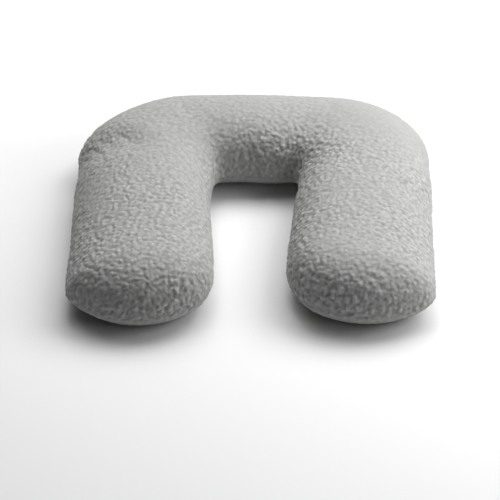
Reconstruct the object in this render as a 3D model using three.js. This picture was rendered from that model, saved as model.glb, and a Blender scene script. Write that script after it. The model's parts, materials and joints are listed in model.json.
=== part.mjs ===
// Wrap-around pillow: one stuffed U lying flat, its opening towards -Y.
// Millimetres, +Z up. The origin is under the middle of the footprint.
import * as THREE from 'three';

// Half widths across the arms at the seam, the end of the gap and the rearmost line at its middle
const outerFront = 250;
const outerBack = 260;
const innerFront = 50;
const innerBack = 64;
const gapEnd = 87;
const backMiddle = 248;

// Bend of the crest line round the back corners
const crestBend = 69;

// Rounded arm end: its foremost point and how far each quarter runs back
const tipX = 157;
const tipOuterRun = 57;
const tipInnerRun = 92;
const crestSetback = 76;

// Seam level, and how far the underside would dip if the ground let it
const seamLevel = 30;
const sag = 6;

// One row for each half of the U: its foremost and rearmost lines, the runs of its outer back
// corner and of the gap's corner, and how far the arm's crest lies from the middle of its width
const halves = [
  { side: 1, tipY: -241.5, backY: 246, cornerX: 123, cornerY: 113, gapX: 12, gapY: 16, crestShift: 0 },
  { side: -1, tipY: -245.5, backY: 250, cornerX: 145, cornerY: 125, gapX: 24, gapY: 44, crestShift: -10 },
];

// Fullness of each half's corners in plan: 2 is an ellipse, less is more pointed
const fullness = new Map([
  [1, { back: 1.8, outerTip: 1.85, innerTip: 2 }],
  [-1, { back: 1.62, outerTip: 1.7, innerTip: 2 }],
]);

// Fullness of the crown across a rib, outside the crest and towards the gap: more is boxier
const outerCrown = 1.96;
const innerCrown = 2.5;

// Height of the crest along the U: -1 is the left arm's end, 0 the back, 1 the right arm's end
const crests = [
  { along: -1, height: 95 },
  { along: -0.6, height: 97 },
  { along: -0.25, height: 100 },
  { along: 0, height: 104 },
  { along: 0.25, height: 99 },
  { along: 0.6, height: 97 },
  { along: 1, height: 95 },
];

// Uneven places of the seam line: a positive swell goes outwards
const swells = [
  { x: 50, y: -120, reach: 80, swell: 3 },
  { x: 78, y: -200, reach: 45, swell: 3 },
  { x: 60, y: 50, reach: 55, swell: -4 },
  { x: 30, y: 86, reach: 45, swell: 3.5 },
  { x: -62, y: 56, reach: 62, swell: 5 },
  { x: -52, y: -150, reach: 70, swell: -1.5 },
  { x: -72, y: -205, reach: 45, swell: 2.5 },
  { x: -255, y: -180, reach: 95, swell: 3.5 },
  { x: -260, y: 90, reach: 65, swell: -4.5 },
  { x: -240, y: -220, reach: 42, swell: -3.6 },
  { x: 248, y: -210, reach: 42, swell: 2.5 },
  { x: 262, y: 40, reach: 60, swell: 2 },
];

// Soft folds in the upper side, each along a line from (x1, y1) to (x2, y2)
const folds = [
  { x1: -250, y1: 100, x2: -175, y2: 84, reach: 34, depth: 7 },
  { x1: -240, y1: 130, x2: -190, y2: 112, reach: 24, depth: 4 },
  { x1: 250, y1: 90, x2: 222, y2: 160, reach: 26, depth: 3.5 },
  { x1: -246, y1: -60, x2: -246, y2: 10, reach: 30, depth: 3 },
  { x1: 60, y1: 100, x2: 100, y2: 130, reach: 22, depth: 3 },
  { x1: 70, y1: 66, x2: 112, y2: 60, reach: 20, depth: 2.5 },
];

// Mesh density: steps of each stretch of the outline and across a rib
const steps = { back: 6, corner: 12, arm: 15, tip: 7, crown: 9, underside: 4 };

const mix = (a, b, t) => a + (b - a) * t;
const bell = (distance, reach) => 0.5 + 0.5 * Math.cos(Math.PI * Math.min(distance / reach, 1));

// Point on a rounded corner; turn runs from 0 on the Y side to 1 on the X side
function cornerPoint(centre, runX, runY, turn, full) {
  const angle = (Math.PI / 2) * (1 - turn);
  return new THREE.Vector2(
    centre.x + runX * Math.max(Math.cos(angle), 0) ** (2 / full),
    centre.y + runY * Math.max(Math.sin(angle), 0) ** (2 / full),
  );
}

function crestHeight(along) {
  const last = crests.findIndex((row) => row.along >= along);
  if (last <= 0) return crests[0].height;
  const from = crests[last - 1];
  const to = crests[last];
  const t = THREE.MathUtils.smoothstep(along, from.along, to.along);
  return mix(from.height, to.height, t);
}

// Ribs of one half from the middle of the back to the arm end, drawn on the +X side
function halfRibs({ side, tipY, backY, cornerX, cornerY, gapX, gapY, crestShift }) {
  const crestY = (backY + gapEnd) / 2;
  const crestMiddle = (backMiddle + gapEnd) / 2;
  const crestX = (outerBack + innerBack) / 2 + crestShift;
  const crestEnd = new THREE.Vector2((outerFront + innerFront) / 2 + crestShift, tipY + crestSetback);
  const outerCentre = new THREE.Vector2(outerBack - cornerX, backY - cornerY);
  const crestCentre = new THREE.Vector2(crestX - crestBend, crestY - crestBend);
  const innerCentre = new THREE.Vector2(innerBack - gapX, gapEnd - gapY);
  const outerEnd = new THREE.Vector2(outerFront, tipY + tipOuterRun);
  const innerEnd = new THREE.Vector2(innerFront, tipY + tipInnerRun);
  const ribs = [];
  for (let i = 0; i < steps.back; i += 1) {
    const t = i / steps.back;
    ribs.push({
      outer: new THREE.Vector2(outerCentre.x * t, mix(backMiddle, backY, t)),
      crest: new THREE.Vector2(crestCentre.x * t, mix(crestMiddle, crestY, t)),
      inner: new THREE.Vector2(innerCentre.x * t, gapEnd),
    });
  }
  for (let i = 0; i < steps.corner; i += 1) {
    const t = i / steps.corner;
    ribs.push({
      outer: cornerPoint(outerCentre, cornerX, cornerY, t, fullness.get(side).back),
      crest: cornerPoint(crestCentre, crestBend, crestBend, t, 2),
      inner: cornerPoint(innerCentre, gapX, gapY, t, 2),
    });
  }
  const armStart = {
    outer: new THREE.Vector2(outerBack, outerCentre.y),
    crest: new THREE.Vector2(crestX, crestCentre.y),
    inner: new THREE.Vector2(innerBack, innerCentre.y),
  };
  for (let i = 0; i <= steps.arm; i += 1) {
    const t = i / steps.arm;
    ribs.push({
      outer: armStart.outer.clone().lerp(outerEnd, t),
      crest: armStart.crest.clone().lerp(crestEnd, t),
      inner: armStart.inner.clone().lerp(innerEnd, t),
    });
  }
  return ribs;
}

// Spokes round the arm end, from its outer side over the tip to its inner side
function tipSpokes({ side, tipY }, crestEnd) {
  const outerCentre = new THREE.Vector2(tipX, tipY + tipOuterRun);
  const innerCentre = new THREE.Vector2(tipX, tipY + tipInnerRun);
  const full = fullness.get(side);
  const spokes = [];
  for (let i = 1; i <= steps.tip; i += 1) {
    const t = 1 - i / steps.tip;
    const seam = cornerPoint(outerCentre, outerFront - tipX, -tipOuterRun, t, full.outerTip);
    spokes.push({ seam, crest: crestEnd, crown: mix(2, outerCrown, t) });
  }
  for (let i = 1; i < steps.tip; i += 1) {
    const t = i / steps.tip;
    const seam = cornerPoint(innerCentre, innerFront - tipX, -tipInnerRun, t, full.innerTip);
    spokes.push({ seam, crest: crestEnd, crown: mix(2, innerCrown, t) });
  }
  return spokes;
}

// Spokes of one half in order: outer side, arm end, inner side
function halfSpokes(half) {
  const ribs = halfRibs(half);
  const lengths = ribs.map((rib, i) => (i ? rib.crest.distanceTo(ribs[i - 1].crest) : 0));
  const total = lengths.reduce((sum, length) => sum + length, 0);
  let run = 0;
  ribs.forEach((rib, i) => {
    run += lengths[i];
    rib.height = crestHeight((half.side * run) / total);
  });
  const end = ribs[ribs.length - 1];
  const spokes = [
    ...ribs.map(({ outer, crest, height }) => ({ seam: outer, crest, height, crown: outerCrown })),
    ...tipSpokes(half, end.crest).map((spoke) => ({ ...spoke, height: end.height })),
    ...ribs.reverse().map(({ inner, crest, height }) => ({ seam: inner, crest, height, crown: innerCrown })),
  ];
  return spokes.map(({ seam, crest, ...rest }) => ({
    seam: new THREE.Vector2(seam.x * half.side, seam.y),
    crest: new THREE.Vector2(crest.x * half.side, crest.y),
    ...rest,
  }));
}

function swellAt({ x, y }) {
  return swells.reduce((sum, row) => sum + row.swell * bell(Math.hypot(x - row.x, y - row.y), row.reach), 0);
}

// The whole ring of spokes: the right half, then the left half from the gap to the back
function ringOfSpokes() {
  const [right, left] = halves.map(halfSpokes);
  const ring = [...right, ...left.reverse().slice(1, -1)];
  return ring.map((spoke, i) => {
    const before = ring[(i + ring.length - 1) % ring.length].seam;
    const after = ring[(i + 1) % ring.length].seam;
    const along = after.clone().sub(before).normalize();
    const outwards = new THREE.Vector2(-along.y, along.x);
    return { ...spoke, seam: spoke.seam.clone().addScaledVector(outwards, swellAt(spoke.seam)) };
  });
}

// Depth of the folds at a place in plan
function foldDepth(x, y) {
  const place = new THREE.Vector3(x, y, 0);
  const nearest = new THREE.Vector3();
  return folds.reduce((sum, { x1, y1, x2, y2, reach, depth }) => {
    const line = new THREE.Line3(new THREE.Vector3(x1, y1, 0), new THREE.Vector3(x2, y2, 0));
    line.closestPointToPoint(place, true, nearest);
    return sum + depth * bell(nearest.distanceTo(place), reach);
  }, 0);
}

// Crown from the seam up to the crest, pressed in along the folds
function crownPoint({ seam, crest, height, crown }, row) {
  const angle = (Math.PI / 2) * (row / steps.crown);
  const inwards = 1 - Math.cos(angle) ** (2 / crown);
  const rise = Math.sin(angle) ** (2 / crown);
  const point = new THREE.Vector3(
    mix(seam.x, crest.x, inwards),
    mix(seam.y, crest.y, inwards),
    mix(seamLevel, height, rise),
  );
  const core = new THREE.Vector3(crest.x, crest.y, seamLevel);
  const out = point.clone().sub(core).normalize();
  return point.addScaledVector(out, -foldDepth(point.x, point.y) * Math.min(rise * 2, 1));
}

// Underside from the seam down to the ground, then flat under the crest
function undersidePoint({ seam, crest }, row) {
  if (row > steps.underside) return new THREE.Vector3(crest.x, crest.y, 0);
  const landing = Math.asin(seamLevel / (seamLevel + sag));
  const angle = landing * (row / steps.underside);
  const inwards = 1 - Math.cos(angle);
  const z = row === steps.underside ? 0 : seamLevel - (seamLevel + sag) * Math.sin(angle);
  return new THREE.Vector3(mix(seam.x, crest.x, inwards), mix(seam.y, crest.y, inwards), z);
}

function cushionGeometry() {
  const ring = ringOfSpokes();
  const positions = [];
  const numbers = new Map();
  const corner = (point) => {
    const key = point.toArray().map((value) => Math.round(value * 100)).join();
    if (!numbers.has(key)) {
      numbers.set(key, positions.length / 3);
      positions.push(...point.toArray());
    }
    return numbers.get(key);
  };
  // Each spoke is a column of points from the crest over the seam to the underside
  const columns = ring.map((spoke) => {
    const column = [];
    for (let row = steps.crown; row >= 0; row -= 1) column.push(corner(crownPoint(spoke, row)));
    for (let row = 1; row <= steps.underside + 1; row += 1) column.push(corner(undersidePoint(spoke, row)));
    return column;
  });
  const faces = [];
  const addFace = (a, b, c) => {
    if (a !== b && b !== c && c !== a) faces.push(a, b, c);
  };
  columns.forEach((column, i) => {
    const next = columns[(i + 1) % columns.length];
    for (let row = 0; row < column.length - 1; row += 1) {
      addFace(column[row], next[row + 1], column[row + 1]);
      addFace(column[row], next[row], next[row + 1]);
    }
  });
  const geometry = new THREE.BufferGeometry();
  geometry.setAttribute('position', new THREE.Float32BufferAttribute(positions, 3));
  geometry.setIndex(faces);
  geometry.computeBoundingBox();
  const middle = geometry.boundingBox.getCenter(new THREE.Vector3());
  geometry.translate(-middle.x, -middle.y, 0);
  geometry.computeVertexNormals();
  return geometry;
}

const pillow = new THREE.Mesh(
  cushionGeometry(),
  new THREE.MeshStandardMaterial({ color: 0xb4b5b3, roughness: 0.95 }),
);
pillow.name = 'pillow';

const group = new THREE.Group();
group.name = 'wrap-around pillow';
group.add(pillow);

export default group;
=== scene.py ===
# %% [markdown]
# # A wrap-around pillow in pebbled knit
# The pillow is a stuffed U that goes round a neck or a body. A maker cuts two U-shaped panels of
# stretchy knit, sews them together along the whole outline and stuffs them tight, so there is one
# seam, low on the sides, and one smooth crown above it. This file dresses the imported solid of that
# pillow: it copies the solid, lets cloth swell over it, draws in the seam and raises the crinkled knit
# as real relief.

# %% Load the imported part
import json

import bmesh
import bpy
import numpy as np
from mathutils import Matrix, Vector
from mathutils.bvhtree import BVHTree

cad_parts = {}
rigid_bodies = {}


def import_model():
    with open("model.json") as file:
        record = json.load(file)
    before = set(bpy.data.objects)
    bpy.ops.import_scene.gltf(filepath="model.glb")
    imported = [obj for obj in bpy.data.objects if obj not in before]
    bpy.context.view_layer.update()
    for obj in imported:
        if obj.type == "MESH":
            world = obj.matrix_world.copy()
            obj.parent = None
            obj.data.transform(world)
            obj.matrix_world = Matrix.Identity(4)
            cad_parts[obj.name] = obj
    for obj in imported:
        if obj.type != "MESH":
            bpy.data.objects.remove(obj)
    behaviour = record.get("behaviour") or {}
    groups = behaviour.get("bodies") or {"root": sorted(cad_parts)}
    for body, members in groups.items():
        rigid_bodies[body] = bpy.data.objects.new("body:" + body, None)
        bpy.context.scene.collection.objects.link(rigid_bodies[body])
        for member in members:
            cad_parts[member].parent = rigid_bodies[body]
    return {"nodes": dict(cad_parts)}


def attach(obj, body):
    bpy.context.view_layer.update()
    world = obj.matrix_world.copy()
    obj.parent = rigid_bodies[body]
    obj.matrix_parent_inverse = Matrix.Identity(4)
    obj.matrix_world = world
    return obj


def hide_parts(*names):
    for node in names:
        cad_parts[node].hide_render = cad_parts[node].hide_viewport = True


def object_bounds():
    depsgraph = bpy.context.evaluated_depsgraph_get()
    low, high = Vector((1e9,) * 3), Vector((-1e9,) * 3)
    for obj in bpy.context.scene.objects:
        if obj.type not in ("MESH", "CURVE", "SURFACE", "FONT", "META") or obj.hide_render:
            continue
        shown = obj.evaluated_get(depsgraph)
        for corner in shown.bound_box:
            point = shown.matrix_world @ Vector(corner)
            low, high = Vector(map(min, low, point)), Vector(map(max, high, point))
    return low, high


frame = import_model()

MM = 0.001
scene = bpy.context.scene
solid = frame["nodes"]["pillow"]
cad_low, cad_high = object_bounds()
cad_size = cad_high - cad_low
print("packed solid, mm:", [round(side / MM) for side in cad_size])

# %% [markdown]
# ## The camera
# The photograph looks down on the pillow from the front, with the opening of the U towards the
# viewer. The arms hardly spread towards the camera, so it stands far away with a long lens. The
# camera is placed by its distance, its height above the horizon and the spot on the floor that it
# looks at, because those three can be changed one at a time.

# %% Place the camera
CAMERA_DISTANCE = 3.0
CAMERA_ELEVATION = np.radians(36.64)
CAMERA_AZIMUTH = np.radians(0.45)
CAMERA_ROLL = np.radians(-0.26)
CAMERA_AIM = Vector((-0.004, -0.052, 0.0))
LENS_MM = 150.3

ground_run = CAMERA_DISTANCE * np.cos(CAMERA_ELEVATION)
camera_place = Vector((
    ground_run * np.sin(CAMERA_AZIMUTH),
    -ground_run * np.cos(CAMERA_AZIMUTH),
    CAMERA_DISTANCE * np.sin(CAMERA_ELEVATION),
))
look = (CAMERA_AIM - camera_place).to_track_quat("-Z", "Y").to_matrix().to_4x4()
camera_data = bpy.data.cameras.new("camera")
camera_data.lens = LENS_MM
camera_data.sensor_width = 36
camera_data.clip_start = 0.1
camera = bpy.data.objects.new("camera", camera_data)
camera.matrix_world = Matrix.Translation(camera_place) @ look @ Matrix.Rotation(CAMERA_ROLL, 4, "Z")
scene.collection.objects.link(camera)
scene.camera = camera
print("camera at", [round(value, 3) for value in camera_place])

# %% [markdown]
# ## The studio
# The pillow lies on a white table under large soft lights that hang behind it, most of them to the
# right. The tops of the arms are bright, the faces towards the camera and to the left are much
# darker, and the shadow under the edges is soft at its rim and deep where the cloth meets the
# table. One big lamp could do for most of it, but the soft double rim of the shadow in the gap
# needs light from several heights, so area lights of a metre and more are hung round the back and
# the right, and a smaller one close by on the right. A weak one from the front right keeps the arm
# ends readable.

# %% Build the table and the lights
FLOOR_HALF = 9.0
FLOOR_DROP = 0.2 * MM


def stage_material(name, value):
    material = bpy.data.materials.new(name)
    material.use_nodes = True
    shader = material.node_tree.nodes["Principled BSDF"]
    shader.inputs["Base Color"].default_value = (value, value, value, 1)
    shader.inputs["Roughness"].default_value = 1.0
    shader.inputs["Specular IOR Level"].default_value = 0.0
    return material


def flat_floor(half, height):
    sheet = bmesh.new()
    bmesh.ops.create_grid(sheet, x_segments=1, y_segments=1, size=half)
    bmesh.ops.translate(sheet, verts=sheet.verts, vec=(0, 0, height))
    mesh = bpy.data.meshes.new("floor")
    sheet.to_mesh(mesh)
    sheet.free()
    return bpy.data.objects.new("floor", mesh)


floor = flat_floor(FLOOR_HALF, -FLOOR_DROP)
floor.data.materials.append(stage_material("white_table", 0.8))
scene.collection.objects.link(floor)

# Name, turn from straight behind towards the right and height above the horizon in degrees,
# distance and width in metres, power in watts
LIGHTS = [
    ("key", 50, 48, 2.6, 1.3, 43.7),
    ("back_high", 0, 62, 2.6, 1.5, 29.0),
    ("back_low", 0, 48, 2.6, 1.3, 15.0),
    ("left_back", -45, 62, 2.6, 1.5, 13.0),
    ("right", 100, 34, 2.6, 1.2, 9.1),
    ("right_near", 90, 30, 1.15, 0.6, 4.9),
    ("front_right", 135, 34, 2.6, 1.2, 4.8),
]


def soft_light(name, turn, height, distance, width, watts):
    data = bpy.data.lights.new(name, "AREA")
    data.shape = "SQUARE"
    data.size = width
    data.energy = watts
    light = bpy.data.objects.new(name, data)
    turn, height = np.radians((turn, height))
    ground_run = distance * np.cos(height)
    place = Vector((ground_run * np.sin(turn), ground_run * np.cos(turn), distance * np.sin(height)))
    light.matrix_world = Matrix.Translation(place) @ (-place).to_track_quat("-Z", "Y").to_matrix().to_4x4()
    scene.collection.objects.link(light)
    return light


for row in LIGHTS:
    soft_light(*row)

world = bpy.data.worlds.new("studio")
world.use_nodes = True
world.node_tree.nodes["Background"].inputs["Color"].default_value = (1, 1, 1, 1)
world.node_tree.nodes["Background"].inputs["Strength"].default_value = 0.0
scene.world = world
scene.view_settings.view_transform = "Standard"
print("lights:", [row[0] for row in LIGHTS])

# %% [markdown]
# ## The stuffed body
# A stuffed cushion is tight cloth held out by its filling. It could be sculpted by hand, but Blender
# can also blow it up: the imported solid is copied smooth, remeshed into even quads and given a Cloth
# modifier with air pressure inside. The underside is pinned, because it lies on the table.

# %% Copy the solid smooth and remesh it
VOXEL = 4.9 * MM
GROUND_BAND = 1.0 * MM
SEAM_HEIGHT = 30 * MM
SEAM_BAND = 0.5 * MM
WELD = 0.05 * MM
PAIR_BEND = 0.7
PAIR_SKEW = 3.1


def bake_modifiers(piece):
    """Puts what the modifiers show into the piece's own mesh."""
    graph = bpy.context.evaluated_depsgraph_get()
    shown = bpy.data.meshes.new_from_object(piece.evaluated_get(graph))
    piece.modifiers.clear()
    piece.data = shown


def subdivide_smoothly(piece, levels):
    finer = piece.modifiers.new("finer", "SUBSURF")
    finer.levels = levels
    finer.render_levels = levels
    bake_modifiers(piece)


def smooth_copy(source, name):
    """Copies the solid with its facets rounded off, but for the edge where the panels meet."""
    form = bmesh.new()
    form.from_mesh(source.data)
    bmesh.ops.remove_doubles(form, verts=form.verts, dist=WELD)
    bmesh.ops.join_triangles(
        form, faces=form.faces, angle_face_threshold=PAIR_BEND, angle_shape_threshold=PAIR_SKEW
    )
    crease = form.edges.layers.float.new("crease_edge")
    for edge in form.edges:
        if all(abs(vert.co.z - SEAM_HEIGHT) < SEAM_BAND for vert in edge.verts):
            edge[crease] = 1.0
    mesh = bpy.data.meshes.new(name)
    form.to_mesh(mesh)
    form.free()
    piece = bpy.data.objects.new(name, mesh)
    scene.collection.objects.link(piece)
    subdivide_smoothly(piece, 1)
    return piece


def even_quads(piece, voxel):
    remesh = piece.modifiers.new("even", "REMESH")
    remesh.mode = "VOXEL"
    remesh.voxel_size = voxel
    bake_modifiers(piece)


def places(mesh):
    values = np.empty(len(mesh.vertices) * 3, np.float32)
    mesh.vertices.foreach_get("co", values)
    return values.reshape(-1, 3).astype(float)


def outward(mesh):
    values = np.empty(len(mesh.vertices) * 3, np.float32)
    mesh.vertex_normals.foreach_get("vector", values)
    return values.reshape(-1, 3).astype(float)


def put_places(mesh, values):
    mesh.vertices.foreach_set("co", values.astype(np.float32).ravel())
    mesh.update()


body = smooth_copy(solid, "pillow_body")
guide = BVHTree.FromObject(body, bpy.context.evaluated_depsgraph_get())
even_quads(body, VOXEL)
print("remeshed body:", len(body.data.polygons), "faces")

# %% Swell the cloth over its filling
PRESSURE = 4.0
STRETCH_STIFFNESS = 20
BEND_STIFFNESS = 2
SWELL_STEPS = 20


def swell(piece, steps):
    start = places(piece.data)
    pinned = piece.vertex_groups.new(name="pinned")
    resting = [int(number) for number in np.flatnonzero(start[:, 2] < GROUND_BAND)]
    pinned.add(resting, 1.0, "REPLACE")
    cloth = piece.modifiers.new("stuffing", "CLOTH")
    settings = cloth.settings
    settings.use_pressure = True
    settings.uniform_pressure_force = PRESSURE
    settings.effector_weights.gravity = 0
    settings.vertex_group_mass = "pinned"
    settings.tension_stiffness = STRETCH_STIFFNESS
    settings.compression_stiffness = STRETCH_STIFFNESS
    settings.bending_stiffness = BEND_STIFFNESS
    cloth.point_cache.frame_start = 1
    cloth.point_cache.frame_end = steps
    for step in range(1, steps + 1):
        scene.frame_set(step)
    bake_modifiers(piece)
    scene.frame_set(1)
    piece.vertex_groups.clear()
    return np.linalg.norm(places(piece.data) - start, axis=1)


travel = swell(body, SWELL_STEPS)
print("cloth travelled, mm: mean", round(travel.mean() / MM, 1), "most", round(travel.max() / MM, 1))

# %% [markdown]
# Left alone, the air makes the arms rounder and narrower than the real filling does. So the swollen
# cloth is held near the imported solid: it may stand a little proud of it or fall a little short, and
# what is more than that is taken back. The correction is spread over the neighbouring points, so
# that it leaves no edge of its own.

# %% Hold the cloth near the solid
PROUD = 1.0 * MM
SHORT = 0.2 * MM
WIDE_SPREAD = 12


def spread(values, mesh, rounds):
    """Averages a value of each point with its neighbours' values, again and again."""
    ends = np.empty(len(mesh.edges) * 2, np.int32)
    mesh.edges.foreach_get("vertices", ends)
    one, other = ends.reshape(-1, 2).T
    count = len(mesh.vertices)
    neighbours = np.bincount(one, minlength=count) + np.bincount(other, minlength=count)
    for _ in range(rounds):
        around = [
            np.bincount(one, axis[other], count) + np.bincount(other, axis[one], count)
            for axis in values.T
        ]
        values = 0.5 * values + 0.5 * np.stack(around, 1) / neighbours[:, None]
    return values


def hold_near(piece, guide, short, proud, rounds):
    points = places(piece.data)
    pull = np.zeros_like(points)
    for number, point in enumerate(points):
        nearest, normal, _, _ = guide.find_nearest(Vector(point))
        offset = (Vector(point) - nearest).dot(normal)
        pull[number] = normal * (min(max(offset, -short), proud) - offset)
    put_places(piece.data, points + spread(pull, piece.data, rounds))
    return np.linalg.norm(pull, axis=1)


for _ in range(2):
    pulled = hold_near(body, guide, SHORT, PROUD, WIDE_SPREAD)
    print("pulled back, mm: mean", round(pulled.mean() / MM, 2), "most", round(pulled.max() / MM, 1))

# %% Subdivide once and thin out the flat underside
FLAT = 0.3 * MM
NARROW_SPREAD = 2


def settle_on_ground(piece):
    """Presses the underside flat and joins its many level faces into few."""
    points = places(piece.data)
    points[:, 2] = np.where(points[:, 2] < FLAT, 0, points[:, 2])
    put_places(piece.data, points)
    form = bmesh.new()
    form.from_mesh(piece.data)
    level = [vert for vert in form.verts if vert.co.z == 0]
    rims = [edge for edge in form.edges if all(vert.co.z == 0 for vert in edge.verts)]
    bmesh.ops.dissolve_limit(form, angle_limit=0.01, verts=level, edges=rims)
    form.to_mesh(piece.data)
    form.free()
    return len(level)


subdivide_smoothly(body, 1)
hold_near(body, guide, SHORT, PROUD, NARROW_SPREAD)
print("level points joined:", settle_on_ground(body), "of", len(body.data.vertices))

# %% [markdown]
# ## The seam
# The two panels meet in a plain closed seam that runs round the whole pillow 30 mm above the table.
# Thread pulls it in, so it shows as a narrow valley with small puckers, between two low lips where
# the cloth turns over the seam allowance. A seam could be a separate strip, but here it is only the
# cloth drawn in, so the points of the body near that height are moved onto one line and pressed
# inwards, and their neighbours are pushed out a little.

# %% Draw in the seam
SEAM_WANDER = 0.8 * MM
WANDER_LENGTH = 160 * MM
SEAM_DEPTH = 1.0 * MM
PUCKER_SHARE = 0.5
PUCKER_LENGTH = 14 * MM
LIP_HEIGHT = 0.8 * MM
LIP_BAND = 5 * MM
SNAP = 1.25 * MM
REACH_OUT = 12 * MM


def waves(points, wavelength, count, seed, stretch=(1, 1, 1), mixed=0.0):
    """Smooth random field, about -1 to 1: plane waves in all directions, alike in length or mixed."""
    dice = np.random.default_rng(seed)
    total = np.zeros(len(points))
    for _ in range(count):
        heading = dice.normal(size=3) * np.array(stretch)
        heading /= np.linalg.norm(heading)
        phase = dice.uniform(0, 2 * np.pi)
        length = wavelength * (1 + mixed * dice.uniform(-1, 1))
        total += np.cos(points @ heading * (2 * np.pi / length) + phase)
    return total / np.sqrt(count / 2)


def ridge_places(points, sideways, guide):
    """Nearest places on the solid's outer edge: looked for from outside, level with the edge."""
    found = [guide.find_nearest(Vector(spot))[0] for spot in points + sideways * REACH_OUT]
    return np.array(found)


points = places(body.data)
off_seam = np.abs(points[:, 2] - SEAM_HEIGHT)
on_line = off_seam < SNAP
on_lips = ~on_line & (off_seam < LIP_BAND)
sideways = outward(body.data) * (1, 1, 0)
sideways /= np.maximum(np.linalg.norm(sideways, axis=1), 0.1)[:, None]
rise = LIP_HEIGHT * (1 - (off_seam[on_lips] / LIP_BAND) ** 2)
points[on_lips] += sideways[on_lips] * rise[:, None]
points[on_line] = ridge_places(points[on_line] * (1, 1, 0) + (0, 0, SEAM_HEIGHT), sideways[on_line], guide)
pucker = 1 + PUCKER_SHARE * waves(points[on_line], PUCKER_LENGTH, 24, seed=5)
points[on_line] -= sideways[on_line] * (SEAM_DEPTH * pucker)[:, None]
points[on_line, 2] += SEAM_WANDER * waves(points[on_line], WANDER_LENGTH, 12, seed=3)
put_places(body.data, points)
print("points on the seam:", int(on_line.sum()))

# %% [markdown]
# ## The crinkled knit
# The cloth is a knit that crinkles into a maze of low rounded ridges with small dark pits between
# them, eight or nine millimetres from one to the next. A bump map would vanish at the outline, so
# the ridges are real relief. Plane waves of mixed lengths, added up in random directions, give such
# a maze without any direction or repeat, and shorter waves on top break up its lines. The filling
# stretches the cloth over the crown, so the maze is low there and livelier on the steep sides and
# the arm ends. The back is calmer than the arms. The shoulder on the right and the inner bend on
# the left are nearly smooth, and so is the panel below the seam.

# %% Raise the ridges and sink the pits
RIDGE_PITCH = 8.5 * MM
CRUMB_PITCH = 5.5 * MM
CRUMB_SHARE = 0.35
LENGTH_SPREAD = 0.45
RELIEF = 1.0 * MM
CRISPNESS = 0.75
LONG_WAY = (1, 0.7, 0.85)
CROWN_LIVELINESS = 0.8
SIDE_LIVELINESS = 1.15
SIDE_SLOPE = 1.3
UNDER_LIVELINESS = 0.4
UNDER_BAND = 4 * MM
RESTING = 0.4 * MM
DRIFT = 0.15
DRIFT_LENGTH = 150 * MM
BACK_CALM = 0.42
BACK_START = 60 * MM
BACK_RUN = 120 * MM

# Smoothed places of the cloth: the middle in plan, the reach and the share taken away
CALM_PLACES = [
    ("right shoulder", (210 * MM, 130 * MM), 80 * MM, 0.45),
    ("left inner bend", (-90 * MM, 80 * MM), 70 * MM, 0.35),
]


def liveliness(points, normals):
    """How high the maze stands at each point: 1 is its full relief."""
    steepness = np.clip(SIDE_SLOPE * (1 - normals[:, 2]), 0, 1)
    lively = CROWN_LIVELINESS + (SIDE_LIVELINESS - CROWN_LIVELINESS) * steepness
    lively *= 1 + DRIFT * waves(points, DRIFT_LENGTH, 14, seed=21)
    lively *= 1 - BACK_CALM * np.clip((points[:, 1] - BACK_START) / BACK_RUN, 0, 1)
    for _, (x, y), reach, calm in CALM_PLACES:
        away = np.hypot(points[:, 0] - x, points[:, 1] - y)
        lively *= 1 - calm * np.exp(-((away / reach) ** 2))
    below_seam = np.clip((SEAM_HEIGHT - points[:, 2]) / UNDER_BAND, 0, 1)
    return lively * (1 - (1 - UNDER_LIVELINESS) * below_seam)


points = places(body.data)
normals = outward(body.data)
ridges = waves(points, RIDGE_PITCH, 90, seed=11, stretch=LONG_WAY, mixed=LENGTH_SPREAD)
crumbs = waves(points, CRUMB_PITCH, 60, seed=13, stretch=LONG_WAY)
lively = liveliness(points, normals)
maze = np.tanh(CRISPNESS * (ridges + CRUMB_SHARE * crumbs)) * lively
relief = np.where(on_line | (points[:, 2] < RESTING), 0, RELIEF * maze)
points += normals * relief[:, None]
points[:, 2] = np.maximum(points[:, 2], 0)
put_places(body.data, points)

# Painted shade: the pits get a darker grey by their depth in the maze, and the seam valley as much as the
# deepest pits
pit_shade_amounts = np.where(on_line, 1.0, 0.5 - 0.5 * maze)
for name, values in (("painted_pit_shade", pit_shade_amounts), ("lively", lively)):
    layer = body.data.attributes.new(name, "FLOAT", "POINT")
    layer.data.foreach_set("value", values.astype(np.float32))
print("relief, mm:", round(float(relief.min()) / MM, 2), "to", round(float(relief.max()) / MM, 2))

# %% [markdown]
# ## The cloth's finish
# The knit is matt and light grey, with a faint bloom where it turns away from the eye, which Sheen
# gives. The pits get painted shade, a darker grey for the shade that falls into them, and the yarn
# itself is a little mottled. Over the ridges the cloth gathers into round grains about seven millimetres
# wide.
# Grains and stitches as real relief would take several times the triangles that a piece may have. Grains
# and stitches as real relief would take several times as many triangles as the body has, so both are
# bump, and the rims of the grains get painted shade too, for the shade between them.

# %% Make the knit material
RIDGE_GREY = (0.39, 0.39, 0.385, 1)
# Painted shade: the darker grey that the pits and the seam valley get, for the shade in them
PIT_SHADE_GREY = (0.285, 0.285, 0.28, 1)
MOTTLE = 0.05
SPECKS_PER_METRE = 300
GRAINS_PER_METRE = 140
GRAIN_ROUNDING = 0.4
GRAIN_HEIGHT = 1.9 * MM
# How much painted shade the rims of the grains get
GRAIN_RIM_SHADE = 0.32
STITCHES_PER_METRE = 350
STITCH_STRENGTH = 0.4
STITCH_HEIGHT = 0.4 * MM


def value_math(tree, operation, *values):
    """A Math node whose inputs are sockets or plain numbers."""
    node = tree.nodes.new("ShaderNodeMath")
    node.operation = operation
    for socket, value in zip(node.inputs, values):
        if isinstance(value, (int, float)):
            socket.default_value = value
        else:
            tree.links.new(value, socket)
    return node.outputs["Value"]


def own_attribute(tree, name):
    node = tree.nodes.new("ShaderNodeAttribute")
    node.attribute_name = name
    return node.outputs["Fac"]


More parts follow.
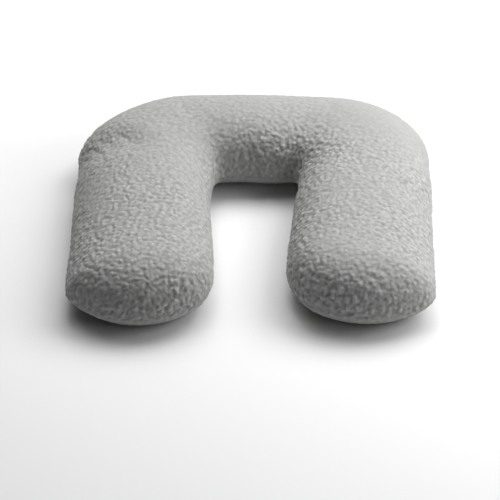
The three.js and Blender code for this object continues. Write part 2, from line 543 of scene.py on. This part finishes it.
def grains(tree, where):
    """Height of the round grains about their mean, as lively as the maze around them; it also sets the
    painted shade at their rims.
    """
    cells = tree.nodes.new("ShaderNodeTexVoronoi")
    cells.feature = "SMOOTH_F1"
    cells.inputs["Scale"].default_value = GRAINS_PER_METRE
    cells.inputs["Smoothness"].default_value = GRAIN_ROUNDING
    tree.links.new(where.outputs["Object"], cells.inputs["Vector"])
    height = value_math(tree, "SUBTRACT", 0.5, cells.outputs["Distance"])
    return value_math(tree, "MULTIPLY", height, own_attribute(tree, "lively"))


def mottled(tree, where):
    """A factor that drifts about 1, for the uneven dye of the yarn; the noise fills 0.3 to 0.7."""
    specks = tree.nodes.new("ShaderNodeTexNoise")
    specks.inputs["Scale"].default_value = SPECKS_PER_METRE
    specks.inputs["Detail"].default_value = 2
    tree.links.new(where.outputs["Object"], specks.inputs["Vector"])
    around_one = tree.nodes.new("ShaderNodeMapRange")
    around_one.inputs["From Min"].default_value = 0.3
    around_one.inputs["From Max"].default_value = 0.7
    around_one.inputs["To Min"].default_value = 1 - MOTTLE
    around_one.inputs["To Max"].default_value = 1 + MOTTLE
    tree.links.new(specks.outputs["Fac"], around_one.inputs["Value"])
    return around_one.outputs["Result"]


def stitches(tree, where):
    """Height of the single stitches, 0 to 1."""
    loops = tree.nodes.new("ShaderNodeTexNoise")
    loops.inputs["Scale"].default_value = STITCHES_PER_METRE
    loops.inputs["Detail"].default_value = 2
    tree.links.new(where.outputs["Object"], loops.inputs["Vector"])
    return loops.outputs["Fac"]


def bumps(tree, *layers):
    """Normal bent by bump layers, one on the other: each a height socket, a strength and a distance."""
    normal = None
    for height, strength, distance in layers:
        bump = tree.nodes.new("ShaderNodeBump")
        bump.inputs["Strength"].default_value = strength
        bump.inputs["Distance"].default_value = distance
        tree.links.new(height, bump.inputs["Height"])
        if normal:
            tree.links.new(normal, bump.inputs["Normal"])
        normal = bump.outputs["Normal"]
    return normal


def knit_material():
    material = bpy.data.materials.new("grey_knit")
    material.use_nodes = True
    tree = material.node_tree
    shader = tree.nodes["Principled BSDF"]
    shader.inputs["Roughness"].default_value = 0.95
    shader.inputs["Specular IOR Level"].default_value = 0.2
    shader.inputs["Sheen Weight"].default_value = 0.15
    shader.inputs["Sheen Roughness"].default_value = 0.5
    where = tree.nodes.new("ShaderNodeTexCoord")
    grain = grains(tree, where)
    pit_shade_mix = tree.nodes.new("ShaderNodeMix")
    pit_shade_mix.data_type = "RGBA"
    pit_shade_mix.inputs["A"].default_value = RIDGE_GREY
    pit_shade_mix.inputs["B"].default_value = PIT_SHADE_GREY
    # The deeper a pit, the more painted shade it gets
    tree.links.new(own_attribute(tree, "painted_pit_shade"), pit_shade_mix.inputs["Factor"])
    # The greys with their painted shade, scaled by the mottled dye and by the painted shade of the grains
    dye_and_shade = tree.nodes.new("ShaderNodeVectorMath")
    dye_and_shade.operation = "SCALE"
    tree.links.new(pit_shade_mix.outputs["Result"], dye_and_shade.inputs[0])
    # Painted shade: each grain is darker towards its rim, where shade falls between the grains, and
    # lighter in its middle
    grain_rim_shade = value_math(tree, "MULTIPLY_ADD", grain, GRAIN_RIM_SHADE, 1.0)
    tree.links.new(value_math(tree, "MULTIPLY", mottled(tree, where), grain_rim_shade), dye_and_shade.inputs["Scale"])
    tree.links.new(dye_and_shade.outputs["Vector"], shader.inputs["Base Color"])
    stitch_layer = (stitches(tree, where), STITCH_STRENGTH, STITCH_HEIGHT)
    normal = bumps(tree, stitch_layer, (grain, 1.0, GRAIN_HEIGHT))
    tree.links.new(normal, shader.inputs["Normal"])
    return material


body.data.materials.clear()
body.data.materials.append(knit_material())
body.data.shade_smooth()
print("materials:", [slot.name for slot in body.data.materials])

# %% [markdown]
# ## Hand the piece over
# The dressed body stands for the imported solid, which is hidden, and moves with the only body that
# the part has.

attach(body, "root")
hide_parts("pillow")
